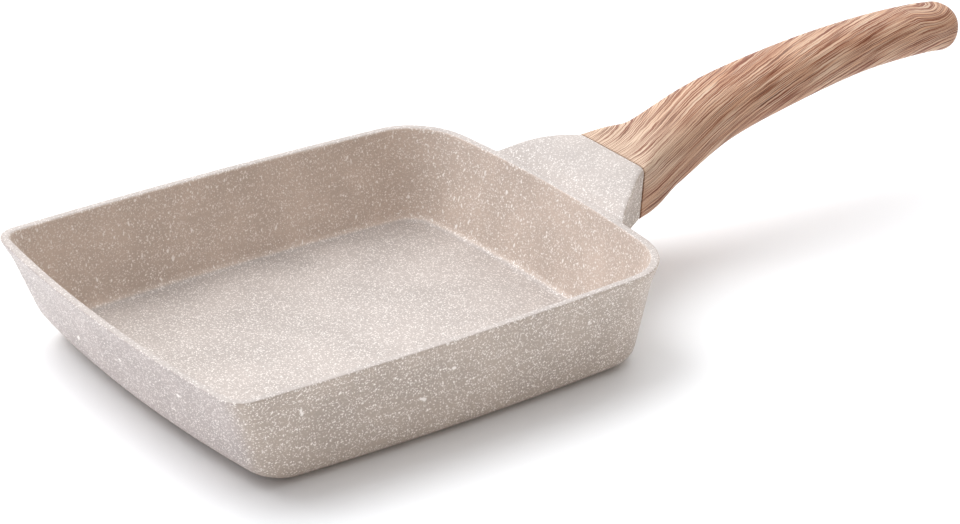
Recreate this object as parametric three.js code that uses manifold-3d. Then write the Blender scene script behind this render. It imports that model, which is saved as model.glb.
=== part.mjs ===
// Rectangular cast frying pan with a stone-look coating and a moulded wood-look handle.
// Millimetres, +Z up, +Y towards the handle. The origin lies on the resting plane, under the rim's centre.
import * as THREE from 'three';
import { mergeVertices } from 'three/addons/utils/BufferGeometryUtils.js';
import Module from 'manifold-3d';

// Rim, seen from above: a rectangle with gently bowed sides
const RIM_LENGTH = 200;
const RIM_WIDTH = 150.8;
const RIM_HEIGHT = 41;
const RIM_LAND = 3.1;
const RIM_OUTER_ROUND = 0.8;
const RIM_INNER_ROUND = 0.7;
const SIDE_BOW = 2.45;
const FRONT_BOW = 5.1;
const BACK_BOW = 5.8;
const RIM_FRONT_CORNER = 9.2;
const RIM_BACK_CORNER = 25;

// Walls: near upright on the sides and at the handle, and a long slope at the front for turning food out
const WALL_DRAFT_OUTSIDE = 9;
const WALL_DRAFT_INSIDE = 10;
const FRONT_SLOPE_OUTSIDE = 22;
const FRONT_SLOPE_INSIDE = 22.5;
const LIP_FLARE = 0.8;
const LIP_HEIGHT = 9;
const FOOT_ROUND = 8;
const FRONT_FOOT_ROUND = 24;
const FOOT_FRONT_CORNER = 9.5;
const FOOT_BACK_CORNER = 14.5;
const FLOOR_THICKNESS = 5;
const FLOOR_ROUND = 3.2;
const FRONT_FLOOR_ROUND = 21;

// Lug: the cast shoulder that rises from the rim to the handle joint
const LUG_LENGTH = 24.5;
const LUG_RISE = 7.5;
const LUG_LEVELLING = 2.4;
const LUG_RIM_STEP = 0.1;
const LUG_RIM_HALF_WIDTH = 36.5;
const LUG_UNDERSIDE_HALF_WIDTH = 24;
const LUG_ROOT_DEPTH = 26;
const LUG_FILLET = 4;
const LUG_FILLET_INSIDE = 5;
const LUG_FILLET_LENGTH = 9;
const JOINT_HALF_WIDTH = 18.6;
const JOINT_HEIGHT = 21.6;
const JOINT_ROUNDNESS = 0.07;

// Tang inside the handle, tilted with the handle's rise
const TANG_RISE = 16;
const TANG_WIDTH = 17;
const TANG_HEIGHT = 8;
const TANG_LENGTH = 32;
const TANG_CORNER = 2;

// Handle: its sizes, and sections as shares of them from neck to tail; roundness goes from box to oval
const HANDLE_LENGTH = 170.5;
const HANDLE_RISE = 26.1;
const GRIP_HALF_WIDTH = 12.6;
const GRIP_HALF_HEIGHT = 10.8;
const HANDLE_TAIL_ROUND = 8;
const HANDLE_TURN_LENGTH = 24;
const HANDLE_SECTIONS = [
  { reach: 0.06, rise: 0.05, width: 1.31, height: 1.19, roundness: 0.2 },
  { reach: 0.12, rise: 0.17, width: 1.159, height: 1.15, roundness: 0.34 },
  { reach: 0.279, rise: 0.575, width: 1.071, height: 1.083, roundness: 0.42 },
  { reach: 0.501, rise: 0.847, width: 1, height: 1, roundness: 0.435 },
  { reach: 0.736, rise: 1, width: 0.905, height: 0.889, roundness: 0.435 },
  { reach: 0.941, rise: 0.992, width: 0.873, height: 0.861, roundness: 0.435 },
  { reach: 1, rise: 0.954, width: 0.841, height: 0.88, roundness: 0.455 },
];

// Fasteners at the joint
const SCREW_SETBACK = 17;
const SCREW_DIAMETER = 5;
const SCREW_HEAD_DIAMETER = 8.6;
const SCREW_HEAD_FLAT = 6;
const SCREW_HEAD_HEIGHT = 2.4;
const SCREW_HEAD_CHAMFER = 0.8;
const SCREW_POINT = 1.2;
const SCREW_TIP_SHORT = 0.6;
const CROSS_WIDTH = 1;
const CROSS_LENGTH = 4;
const CROSS_DEPTH = 1.4;
const FLAT_WASHER_DIAMETER = 9.6;
const FLAT_WASHER_THICKNESS = 0.8;
const SPRING_WASHER_DIAMETER = 8.8;
const SPRING_WASHER_THICKNESS = 1;
const SPRING_WASHER_SLIT = 0.9;
const INSERT_DIAMETER = 8;
const COUNTERBORE_DIAMETER = 10.6;
const COUNTERBORE_FLOOR = 2.2;

// Perforated induction plate, set into the underside
const PLATE_WIDTH = 100;
const PLATE_LENGTH = 128;
const PLATE_CORNER = 14;
const PLATE_THICKNESS = 0.8;
const PLATE_CENTRE_Y = 7;
const PLATE_HOLE_DIAMETER = 5;
const PLATE_HOLE_PITCH = 14;
const PLATE_MARGIN = 9;

// Clearance between pieces that touch or fit into each other
const GAP = 0.3;

// Fineness of the curves
const SIDE_STEPS = 10;
const CORNER_STEPS = 7;
const FOOT_STEPS = 8;
const LIP_STEPS = 3;
const EDGE_STEPS = 3;
const FILLET_STEPS = 3;
const LUG_STEPS = 8;
const HANDLE_STEPS = 40;
const TAIL_STEPS = 5;
const SECTION_POINTS = 32;
const ROUND_STEPS = 24;
const ARC_STEPS = 5;
const MERGE_DISTANCE = 1e-4;

// Places that follow from the sizes
const RIM_BACK = RIM_LENGTH / 2;
const JOINT_Y = RIM_BACK + LUG_LENGTH;
const JOINT_TOP = RIM_HEIGHT + LUG_RISE;
const JOINT_Z = JOINT_TOP - JOINT_HEIGHT / 2;

const wasm = await Module();
wasm.setup();

// Solids: joining and cutting closed meshes
function solidOf(geometry) {
  const bare = geometry.index ? geometry.toNonIndexed() : geometry.clone();
  bare.deleteAttribute('normal');
  bare.deleteAttribute('uv');
  const merged = mergeVertices(bare, MERGE_DISTANCE);
  const mesh = new wasm.Mesh({
    numProp: 3,
    vertProperties: new Float32Array(merged.attributes.position.array),
    triVerts: new Uint32Array(merged.index.array),
  });
  return new wasm.Manifold(mesh);
}

function geometryOf(solid) {
  const mesh = solid.getMesh();
  const geometry = new THREE.BufferGeometry();
  geometry.setAttribute('position', new THREE.BufferAttribute(new Float32Array(mesh.vertProperties), 3));
  geometry.setIndex(new THREE.BufferAttribute(new Uint32Array(mesh.triVerts), 1));
  geometry.computeVertexNormals();
  return geometry;
}

// Skin over a row of closed rings with equal point counts, with a fan closing each end
function loft(rings) {
  const count = rings[0].length;
  const points = rings.flat();
  const triangles = [];
  for (let ring = 0; ring + 1 < rings.length; ring += 1) {
    for (let i = 0; i < count; i += 1) {
      const a = ring * count + i;
      const b = ring * count + ((i + 1) % count);
      triangles.push(a, b, b + count, a, b + count, a + count);
    }
  }
  for (const [ring, flip] of [[0, true], [rings.length - 1, false]]) {
    const middle = new THREE.Vector3();
    rings[ring].forEach((point) => middle.addScaledVector(point, 1 / count));
    const hub = points.push(middle) - 1;
    for (let i = 0; i < count; i += 1) {
      const a = ring * count + i;
      const b = ring * count + ((i + 1) % count);
      triangles.push(...(flip ? [b, a, hub] : [a, b, hub]));
    }
  }
  const geometry = new THREE.BufferGeometry().setFromPoints(points);
  geometry.setIndex(triangles);
  return geometry;
}

// Plan outlines: bowed sides as circle arcs, joined by corner arcs that touch both sides
function bowedSide(from, to, bow) {
  const chord = to.clone().sub(from);
  const length = chord.length();
  const radius = (length * length / 4 + bow * bow) / (2 * bow);
  const outward = new THREE.Vector2(chord.y, -chord.x).divideScalar(length);
  const centre = from.clone().lerp(to, 0.5).addScaledVector(outward, bow - radius);
  return { centre, radius };
}

function cornerArc(before, after, corner, radius) {
  const reachBefore = before.radius - radius;
  const reachAfter = after.radius - radius;
  const between = after.centre.clone().sub(before.centre);
  const distance = between.length();
  const along = (reachBefore ** 2 - reachAfter ** 2 + distance ** 2) / (2 * distance);
  const across = Math.sqrt(reachBefore ** 2 - along ** 2);
  const unit = between.divideScalar(distance);
  const normal = new THREE.Vector2(-unit.y, unit.x);
  const foot = before.centre.clone().addScaledVector(unit, along);
  const choices = [1, -1].map((sign) => foot.clone().addScaledVector(normal, sign * across));
  const centre = choices.reduce((a, b) => (a.distanceTo(corner) < b.distanceTo(corner) ? a : b));
  const start = centre.clone().sub(before.centre).angle();
  const end = centre.clone().sub(after.centre).angle();
  return { centre, radius, start, end };
}

function arcPoints({ centre, radius }, start, end, steps) {
  const turn = THREE.MathUtils.euclideanModulo(end - start, 2 * Math.PI);
  return Array.from({ length: steps }, (_, i) => {
    const angle = start + turn * i / steps;
    return new THREE.Vector2(Math.cos(angle), Math.sin(angle)).multiplyScalar(radius).add(centre);
  });
}

function panOutline(inset, frontInset, frontCorner, backCorner) {
  const x = RIM_WIDTH / 2 - SIDE_BOW - inset;
  const front = -RIM_LENGTH / 2 + FRONT_BOW + frontInset;
  const back = RIM_LENGTH / 2 - BACK_BOW - inset;
  const corners = [[-x, front], [x, front], [x, back], [-x, back]].map(([a, b]) => new THREE.Vector2(a, b));
  const bows = [FRONT_BOW, SIDE_BOW, BACK_BOW, SIDE_BOW];
  const radii = [frontCorner, frontCorner, backCorner, backCorner];
  const sides = corners.map((corner, i) => bowedSide(corner, corners[(i + 1) % 4], bows[i]));
  const arcs = corners.map((corner, i) => cornerArc(sides[(i + 3) % 4], sides[i], corner, radii[i]));
  return arcs.flatMap((arc, i) => [
    ...arcPoints(arc, arc.start, arc.end, CORNER_STEPS),
    ...arcPoints(sides[i], arc.end, arcs[(i + 1) % 4].start, SIDE_STEPS),
  ]);
}

function level(outline, z) {
  return outline.map((point) => new THREE.Vector3(point.x, point.y, z));
}

// How far a wall stands inside its top edge at height z: a straight draft that ends in a rounded foot
function wallInset(z, { draft, foot, bottom, topInset, flare }) {
  const tilt = THREE.MathUtils.degToRad(draft);
  const lean = (height) => {
    const drop = RIM_HEIGHT - height;
    const turned = THREE.MathUtils.smoothstep(drop, 0, LIP_HEIGHT);
    return topInset + drop * Math.tan(tilt) + flare * turned;
  };
  const tangent = bottom + foot * (1 - Math.sin(tilt));
  if (z >= tangent) return lean(z);
  const centre = lean(tangent) + foot * Math.cos(tilt);
  const rise = foot - (z - bottom);
  return centre - Math.sqrt(Math.max(foot * foot - rise * rise, 0));
}

const OUTSIDE = { draft: WALL_DRAFT_OUTSIDE, foot: FOOT_ROUND, bottom: 0, topInset: 0, flare: LIP_FLARE };
const OUTSIDE_FRONT = { ...OUTSIDE, draft: FRONT_SLOPE_OUTSIDE, foot: FRONT_FOOT_ROUND };
const INSIDE = {
  draft: WALL_DRAFT_INSIDE, foot: FLOOR_ROUND, bottom: FLOOR_THICKNESS, topInset: RIM_LAND, flare: 0,
};
const INSIDE_FRONT = { ...INSIDE, draft: FRONT_SLOPE_INSIDE, foot: FRONT_FLOOR_ROUND };

// One ring of the pan's skin at height z, moved inward by an extra amount where an edge is rounded
function wallRing(z, side, front, extra = 0) {
  const down = 1 - z / RIM_HEIGHT;
  const inset = wallInset(z, side) + extra;
  const frontInset = wallInset(z, front) + extra;
  const frontCorner = THREE.MathUtils.lerp(RIM_FRONT_CORNER, FOOT_FRONT_CORNER, down) - side.topInset - extra;
  const backCorner = THREE.MathUtils.lerp(RIM_BACK_CORNER, FOOT_BACK_CORNER, down) - side.topInset - extra;
  return level(panOutline(inset, frontInset, frontCorner, backCorner), z);
}

// Heights of the rings, close together in the rounded foot and under the lip
function wallHeights(bottom, foot, top) {
  const footHeights = Array.from({ length: FOOT_STEPS + 1 }, (_, i) => (
    bottom + foot * (1 - Math.cos(i / FOOT_STEPS * Math.PI / 2))
  ));
  const lipStart = RIM_HEIGHT - LIP_HEIGHT;
  const middle = (footHeights[FOOT_STEPS] + lipStart) / 2;
  const lipHeights = Array.from({ length: LIP_STEPS + 1 }, (_, i) => (
    THREE.MathUtils.lerp(lipStart, top, i / LIP_STEPS)
  ));
  return [...footHeights, middle, ...lipHeights];
}

// A wall's rings from its bottom to the rim, where its top edge is rounded over
function wallRings(side, front, round, roundSide) {
  const rings = wallHeights(side.bottom, front.foot, RIM_HEIGHT - round)
    .map((z) => wallRing(z, side, front));
  for (let i = 1; i <= EDGE_STEPS; i += 1) {
    const angle = i / EDGE_STEPS * Math.PI / 2;
    const z = RIM_HEIGHT - round * (1 - Math.sin(angle));
    rings.push(wallRing(z, side, front, roundSide * round * (1 - Math.cos(angle))));
  }
  return rings;
}

function outerSolid() {
  return solidOf(loft(wallRings(OUTSIDE, OUTSIDE_FRONT, RIM_OUTER_ROUND, 1)));
}

// The hollow of the pan, carried straight up past the top of the lug
function cavitySolid() {
  const rings = wallRings(INSIDE, INSIDE_FRONT, RIM_INNER_ROUND, -1);
  const mouth = rings[rings.length - 1];
  rings.push(mouth.map((point) => new THREE.Vector3(point.x, point.y, JOINT_TOP)));
  return solidOf(loft(rings));
}

// Rounded section standing across the path: a superellipse in X and an upward direction in the YZ plane,
// which may narrow towards its underside
function sectionRing(middle, up, { halfWidth, halfHeight, roundness, undersideHalfWidth = halfWidth }) {
  const part = (value) => Math.sign(value) * Math.abs(value) ** (2 * roundness);
  return Array.from({ length: SECTION_POINTS }, (_, i) => {
    const angle = 2 * Math.PI * i / SECTION_POINTS;
    const height = part(Math.cos(angle));
    const reach = THREE.MathUtils.lerp(undersideHalfWidth, halfWidth, (1 + height) / 2);
    const point = middle.clone().addScaledVector(up, halfHeight * height);
    point.x += reach * part(Math.sin(angle));
    return point;
  });
}

const JOINT_SECTION = {
  y: JOINT_Y,
  z: JOINT_Z,
  halfWidth: JOINT_HALF_WIDTH,
  halfHeight: JOINT_HEIGHT / 2,
  roundness: JOINT_ROUNDNESS,
};
const UPRIGHT = new THREE.Vector3(0, 0, 1);

// Section of the lug at y: its top rises quickly at the rim and levels out, and a fillet widens its root
function lugSection(y) {
  const progress = THREE.MathUtils.clamp((y - RIM_BACK) / LUG_LENGTH, 0, 1);
  const beyond = THREE.MathUtils.clamp((y - RIM_BACK + LUG_FILLET_INSIDE) / LUG_FILLET_LENGTH, 0, 1);
  const fillet = LUG_FILLET * (1 - beyond) ** 2;
  const levelling = 1 - (1 - progress) ** LUG_LEVELLING;
  const top = THREE.MathUtils.lerp(RIM_HEIGHT - LUG_RIM_STEP, JOINT_TOP, levelling);
  const underside = THREE.MathUtils.lerp(RIM_HEIGHT - LUG_ROOT_DEPTH, JOINT_TOP - JOINT_HEIGHT, progress);
  const bottom = underside - fillet;
  const middle = new THREE.Vector3(0, y, (top + bottom) / 2);
  return sectionRing(middle, UPRIGHT, {
    halfWidth: THREE.MathUtils.lerp(LUG_RIM_HALF_WIDTH, JOINT_HALF_WIDTH, progress) + fillet,
    undersideHalfWidth: THREE.MathUtils.lerp(LUG_UNDERSIDE_HALF_WIDTH, JOINT_HALF_WIDTH, progress) + fillet,
    halfHeight: (top - bottom) / 2,
    roundness: JOINT_ROUNDNESS,
  });
}

// Lug: from inside the rear wall to the joint
function lugSolid() {
  const rootY = RIM_BACK - wallInset(RIM_HEIGHT - LUG_ROOT_DEPTH, INSIDE);
  const places = [rootY];
  for (let i = 0; i < FILLET_STEPS; i += 1) {
    places.push(RIM_BACK - LUG_FILLET_INSIDE * (1 - i / FILLET_STEPS));
  }
  for (let i = 0; i <= LUG_STEPS; i += 1) {
    places.push(RIM_BACK + LUG_LENGTH * i / LUG_STEPS);
  }
  return solidOf(loft(places.map(lugSection)));
}

// Frame of the tang: its Y runs along the tang, and the screw stands on its Z
const tangFrame = new THREE.Group();
tangFrame.position.set(0, JOINT_Y, JOINT_Z);
tangFrame.rotation.x = THREE.MathUtils.degToRad(TANG_RISE);
tangFrame.updateMatrixWorld(true);

function roundedRectangle(width, height, radius) {
  const x = width / 2 - radius;
  const y = height / 2 - radius;
  const shape = new THREE.Shape();
  shape.absarc(x, y, radius, 0, Math.PI / 2);
  shape.absarc(-x, y, radius, Math.PI / 2, Math.PI);
  shape.absarc(-x, -y, radius, Math.PI, 1.5 * Math.PI);
  shape.absarc(x, -y, radius, 1.5 * Math.PI, 2 * Math.PI);
  return shape;
}

// A bar along the tang, grown by a clearance on every side and placed in the part's frame
function tangBar(start, end, clearance) {
  const width = TANG_WIDTH + 2 * clearance;
  const shape = roundedRectangle(width, TANG_HEIGHT + 2 * clearance, TANG_CORNER + clearance);
  const settings = { depth: end - start, bevelEnabled: false, curveSegments: ARC_STEPS };
  const bar = new THREE.ExtrudeGeometry(shape, settings);
  bar.rotateX(-Math.PI / 2);
  bar.translate(0, start, 0);
  return solidOf(bar.applyMatrix4(tangFrame.matrixWorld));
}

// A round bar on the screw's axis, between two heights of the tang's frame
function axisBar(diameter, bottom, top) {
  const bar = new THREE.CylinderGeometry(diameter / 2, diameter / 2, top - bottom, ROUND_STEPS);
  bar.rotateX(Math.PI / 2);
  bar.translate(0, SCREW_SETBACK, (top + bottom) / 2);
  return solidOf(bar.applyMatrix4(tangFrame.matrixWorld));
}

// Heights on the screw's axis, from the tang down to the screw's head
const SOCKET_FLOOR = -TANG_HEIGHT / 2 - GAP;
const WASHER_SEAT = SOCKET_FLOOR - COUNTERBORE_FLOOR;
const FLAT_WASHER_TOP = WASHER_SEAT - GAP;
const SPRING_WASHER_TOP = FLAT_WASHER_TOP - FLAT_WASHER_THICKNESS - GAP;
const SCREW_HEAD_TOP = SPRING_WASHER_TOP - SPRING_WASHER_THICKNESS - GAP;
const SCREW_TIP = TANG_HEIGHT / 2 - SCREW_TIP_SHORT;
const SCREW_HOLE = SCREW_DIAMETER + 2 * GAP;

function plateShape(clearance) {
  const width = PLATE_WIDTH + 2 * clearance;
  return roundedRectangle(width, PLATE_LENGTH + 2 * clearance, PLATE_CORNER + clearance);
}

function panBody() {
  const plateDepth = PLATE_THICKNESS + GAP;
  const seat = new THREE.ExtrudeGeometry(plateShape(GAP), { depth: 2 * plateDepth, bevelEnabled: false });
  seat.translate(0, PLATE_CENTRE_Y, -plateDepth);
  const tang = tangBar(-TANG_HEIGHT, TANG_LENGTH, 0);
  const insertHole = axisBar(INSERT_DIAMETER + 2 * GAP, -TANG_HEIGHT, TANG_HEIGHT);
  const solid = outerSolid().add(lugSolid()).subtract(cavitySolid()).add(tang);
  return geometryOf(solid.subtract(insertHole).subtract(solidOf(seat)));
}

// Plate with rows of round holes, and the holes set out from its middle
function inductionPlate() {
  const shape = plateShape(0);
  const reachX = Math.floor((PLATE_WIDTH / 2 - PLATE_MARGIN) / PLATE_HOLE_PITCH - 0.5);
  const reachY = Math.floor((PLATE_LENGTH / 2 - PLATE_MARGIN) / PLATE_HOLE_PITCH - 0.5);
  for (let column = -reachX - 1; column <= reachX; column += 1) {
    for (let row = -reachY - 1; row <= reachY; row += 1) {
      const hole = new THREE.Path();
      const x = (column + 0.5) * PLATE_HOLE_PITCH;
      const y = (row + 0.5) * PLATE_HOLE_PITCH;
      hole.absarc(x, y, PLATE_HOLE_DIAMETER / 2, 0, 2 * Math.PI);
      shape.holes.push(hole);
    }
  }
  const settings = { depth: PLATE_THICKNESS, bevelEnabled: false, curveSegments: ARC_STEPS };
  const plate = new THREE.ExtrudeGeometry(shape, settings);
  plate.translate(0, PLATE_CENTRE_Y, 0);
  return geometryOf(solidOf(plate));
}

// Handle: a loft along a smooth path through the sections, square at the joint and round at the tail
function handleRings() {
  const joint = { ...JOINT_SECTION, y: JOINT_Y + GAP };
  const sections = [joint, ...HANDLE_SECTIONS.map(({ reach, rise, width, height, roundness }) => ({
    y: JOINT_Y + reach * HANDLE_LENGTH,
    z: JOINT_Z + rise * HANDLE_RISE,
    halfWidth: width * GRIP_HALF_WIDTH,
    halfHeight: height * GRIP_HALF_HEIGHT,
    roundness,
  }))];
  const path = new THREE.CatmullRomCurve3(sections.map((s) => new THREE.Vector3(0, s.y, s.z)));
  const sizes = new THREE.CatmullRomCurve3(
    sections.map((s) => new THREE.Vector3(s.halfWidth, s.halfHeight, s.roundness)),
  );
  const upAt = (t) => {
    const along = path.getTangent(t);
    const turned = THREE.MathUtils.smoothstep(path.getPoint(t).y, JOINT_Y, JOINT_Y + HANDLE_TURN_LENGTH);
    return new THREE.Vector3(0, -along.z * turned, along.y).normalize();
  };
  const sizeAt = (t) => {
    const size = sizes.getPoint(t);
    return { halfWidth: size.x, halfHeight: size.y, roundness: size.z };
  };
  const rings = Array.from({ length: HANDLE_STEPS + 1 }, (_, i) => {
    const t = i / HANDLE_STEPS;
    return sectionRing(path.getPoint(t), upAt(t), sizeAt(t));
  });
  const end = sizeAt(1);
  for (let i = 1; i <= TAIL_STEPS; i += 1) {
    const angle = i / (TAIL_STEPS + 1) * Math.PI / 2;
    const middle = path.getPoint(1).addScaledVector(path.getTangent(1), HANDLE_TAIL_ROUND * Math.sin(angle));
    const shrink = Math.cos(angle);
    rings.push(sectionRing(middle, upAt(1), {
      halfWidth: end.halfWidth * shrink, halfHeight: end.halfHeight * shrink, roundness: end.roundness,
    }));
  }
  return rings;
}

function handle() {
  const blank = solidOf(loft(handleRings()));
  const socket = tangBar(-TANG_HEIGHT, TANG_LENGTH + GAP, GAP);
  const screwHole = axisBar(SCREW_HOLE, WASHER_SEAT - GAP, 0);
  const counterbore = axisBar(COUNTERBORE_DIAMETER, -2 * JOINT_HALF_WIDTH, WASHER_SEAT);
  return geometryOf(blank.subtract(socket).subtract(screwHole).subtract(counterbore));
}

// Turned pieces: a closed profile of radius and height, spun round the screw's axis
function turned(profile) {
  const points = profile.map(([radius, height]) => new THREE.Vector2(radius, height));
  const lathe = new THREE.LatheGeometry(points, ROUND_STEPS);
  lathe.rotateX(Math.PI / 2);
  return solidOf(lathe);
}

function ring(outer, inner, bottom, top) {
  return turned([[inner, bottom], [outer, bottom], [outer, top], [inner, top], [inner, bottom]]);
}

function screw() {
  const head = SCREW_HEAD_DIAMETER / 2;
  const shank = SCREW_DIAMETER / 2;
  const bottom = SCREW_HEAD_TOP - SCREW_HEAD_HEIGHT;
  const blank = turned([
    [0, bottom],
    [SCREW_HEAD_FLAT / 2, bottom],
    [head, bottom + SCREW_HEAD_CHAMFER],
    [head, SCREW_HEAD_TOP],
    [shank, SCREW_HEAD_TOP],
    [shank, SCREW_TIP - SCREW_POINT],
    [shank - SCREW_POINT, SCREW_TIP],
    [0, SCREW_TIP],
  ]);
  const slot = new THREE.BoxGeometry(CROSS_WIDTH, CROSS_LENGTH, 2 * CROSS_DEPTH);
  slot.translate(0, 0, bottom);
  const crossSlot = slot.clone().rotateZ(Math.PI / 2);
  return geometryOf(blank.subtract(solidOf(slot)).subtract(solidOf(crossSlot)));
}

function springWasher() {
  const bottom = SPRING_WASHER_TOP - SPRING_WASHER_THICKNESS;
  const blank = ring(SPRING_WASHER_DIAMETER / 2, SCREW_HOLE / 2, bottom, SPRING_WASHER_TOP);
  const slit = new THREE.BoxGeometry(SPRING_WASHER_DIAMETER, SPRING_WASHER_SLIT, 2 * SPRING_WASHER_THICKNESS);
  slit.translate(SPRING_WASHER_DIAMETER / 2, 0, bottom + SPRING_WASHER_THICKNESS / 2);
  return geometryOf(blank.subtract(solidOf(slit)));
}

function flatWasher() {
  const bottom = FLAT_WASHER_TOP - FLAT_WASHER_THICKNESS;
  return geometryOf(ring(FLAT_WASHER_DIAMETER / 2, SCREW_HOLE / 2, bottom, FLAT_WASHER_TOP));
}

function threadedInsert() {
  const end = TANG_HEIGHT / 2;
  return geometryOf(ring(INSERT_DIAMETER / 2, SCREW_HOLE / 2, -end, end));
}

// Finishes
const coating = { color: 0xd9cfc4, roughness: 0.55, metalness: 0 };
const woodLook = { color: 0xc4976f, roughness: 0.45, metalness: 0 };
const stainless = { color: 0xb9bbbd, roughness: 0.35, metalness: 1 };
const zincPlated = { color: 0xa9adb2, roughness: 0.4, metalness: 1 };

function piece(name, geometry, finish) {
  const mesh = new THREE.Mesh(geometry, new THREE.MeshStandardMaterial(finish));
  mesh.name = name;
  return mesh;
}

const pan = new THREE.Group();
pan.add(piece('pan_body', panBody(), coating));
pan.add(piece('induction_plate', inductionPlate(), stainless));
pan.add(piece('handle', handle(), woodLook));

const screwAxis = new THREE.Group();
screwAxis.position.set(0, SCREW_SETBACK, 0);
screwAxis.add(piece('handle_screw', screw(), zincPlated));
screwAxis.add(piece('spring_washer', springWasher(), zincPlated));
screwAxis.add(piece('flat_washer', flatWasher(), zincPlated));
screwAxis.add(piece('threaded_insert', threadedInsert(), zincPlated));
tangFrame.add(screwAxis);
pan.add(tangFrame);

export default pan;
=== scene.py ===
"""Looks of a rectangular frying pan: a stone-look cast body, a wood-look handle and a white studio."""
import math

import bpy
import numpy as np
from mathutils import Matrix, Vector


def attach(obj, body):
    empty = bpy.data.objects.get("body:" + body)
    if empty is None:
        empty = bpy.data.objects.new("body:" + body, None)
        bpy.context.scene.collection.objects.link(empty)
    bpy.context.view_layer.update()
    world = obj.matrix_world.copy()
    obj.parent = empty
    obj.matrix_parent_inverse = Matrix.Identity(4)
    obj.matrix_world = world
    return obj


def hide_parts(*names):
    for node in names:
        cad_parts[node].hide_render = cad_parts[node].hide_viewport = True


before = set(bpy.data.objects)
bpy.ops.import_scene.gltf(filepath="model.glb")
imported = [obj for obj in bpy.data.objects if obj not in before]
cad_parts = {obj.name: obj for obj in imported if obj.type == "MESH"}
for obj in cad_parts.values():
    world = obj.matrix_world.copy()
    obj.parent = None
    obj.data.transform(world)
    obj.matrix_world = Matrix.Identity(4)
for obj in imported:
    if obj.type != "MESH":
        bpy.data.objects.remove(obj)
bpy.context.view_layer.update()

# Rim, in metres, seen from above: a rectangle with gently bowed sides
RIM_LENGTH = 0.2
RIM_WIDTH = 0.1508
RIM_HEIGHT = 0.041
RIM_LAND = 0.0031
RIM_OUTER_ROUND = 0.0008
RIM_INNER_ROUND = 0.0007
SIDE_BOW = 0.00245
FRONT_BOW = 0.0051
BACK_BOW = 0.0058
RIM_FRONT_CORNER = 0.0092
RIM_BACK_CORNER = 0.025

# Walls, their drafts in degrees
WALL_DRAFT_OUTSIDE = 9
WALL_DRAFT_INSIDE = 10
FRONT_SLOPE_OUTSIDE = 22
FRONT_SLOPE_INSIDE = 22.5
LIP_FLARE = 0.0008
LIP_HEIGHT = 0.009
FOOT_ROUND = 0.008
FRONT_FOOT_ROUND = 0.024
FOOT_FRONT_CORNER = 0.0095
FOOT_BACK_CORNER = 0.0145
FLOOR_THICKNESS = 0.005
FLOOR_ROUND = 0.0032
FRONT_FLOOR_ROUND = 0.021
FLAT_MARGIN = 0.002

# Lug between the rim and the handle joint
LUG_LENGTH = 0.0245
LUG_RISE = 0.0075
LUG_LEVELLING = 2.4
LUG_RIM_STEP = 0.0001
LUG_RIM_HALF_WIDTH = 0.0365
LUG_UNDERSIDE_HALF_WIDTH = 0.024
LUG_ROOT_DEPTH = 0.026
LUG_FILLET = 0.004
LUG_FILLET_INSIDE = 0.005
LUG_FILLET_LENGTH = 0.009
JOINT_HALF_WIDTH = 0.0186
JOINT_HEIGHT = 0.0216
JOINT_ROUNDNESS = 0.07
JOINT_EDGE_ROUND = 0.0003
JOINT_SHOWN_GAP = 0.0006
GAP = 0.0003

# Handle, and its sections as shares of reach, rise, half width and half height, with a roundness
HANDLE_LENGTH = 0.1705
HANDLE_RISE = 0.0261
GRIP_HALF_WIDTH = 0.0126
GRIP_HALF_HEIGHT = 0.0108
HANDLE_TAIL_ROUND = 0.008
HANDLE_TURN_LENGTH = 0.024
HANDLE_SECTIONS = [
    (0.06, 0.05, 1.31, 1.19, 0.2),
    (0.12, 0.17, 1.159, 1.15, 0.34),
    (0.279, 0.575, 1.071, 1.083, 0.42),
    (0.501, 0.847, 1, 1, 0.435),
    (0.736, 1, 0.905, 0.889, 0.435),
    (0.941, 0.992, 0.873, 0.861, 0.435),
    (1, 0.954, 0.841, 0.88, 0.455),
]

# Tang and screw, in the tang's own tilted frame, which rises by some degrees
TANG_RISE = 16
TANG_WIDTH = 0.017
TANG_LENGTH = 0.032
TANG_THICKNESS = 0.008
SCREW_SETBACK = 0.017
COUNTERBORE_RADIUS = 0.0053
COUNTERBORE_FLOOR = 0.0022
COUNTERBORE_DEPTH = 0.0372
INSERT_HOLE_RADIUS = 0.0043

# Induction plate
PLATE_SIZE = (0.1, 0.128)
PLATE_CORNER = 0.014
PLATE_SEAT_DEPTH = 0.0011
PLATE_CENTRE_Y = 0.007

# Places that follow from the sizes
RIM_BACK = RIM_LENGTH / 2
JOINT_Y = RIM_BACK + LUG_LENGTH
JOINT_TOP = RIM_HEIGHT + LUG_RISE
JOINT_Z = JOINT_TOP - JOINT_HEIGHT / 2

# Camera, fitted to the photograph's rim and handle outlines, with angles in degrees
IMAGE_SIZE = (960, 524)
FOCAL_PIXELS = 3029.0
AIM_PIXEL = (339.6, 247.8)
AIM_POINT = (0, 0, RIM_HEIGHT)
VIEW_AZIMUTH = 49.369
VIEW_ELEVATION = 26.549
VIEW_ROLL = 3.914
VIEW_DISTANCE = 1.05078
SENSOR_WIDTH = 36.0
NEAR_CLIP = 0.01

# Fineness of the curves
SIDE_STEPS = 26
CORNER_STEPS = 16
FOOT_STEPS = 16
WALL_STEPS = 6
LIP_STEPS = 8
EDGE_STEPS = 5
LUG_STEPS = 24
FILLET_STEPS = 10
SECTION_POINTS = 96
HANDLE_STEPS = 150
TAIL_STEPS = 14
ROUND_STEPS = 48
PATH_NUDGE = 0.001
SHARP_ANGLE = 32


# Mesh helpers
def new_object(name, points, faces):
    mesh = bpy.data.meshes.new(name)
    mesh.from_pydata([tuple(p) for p in points], [], faces)
    mesh.validate()
    piece = bpy.data.objects.new(name, mesh)
    bpy.context.scene.collection.objects.link(piece)
    return piece


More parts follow.
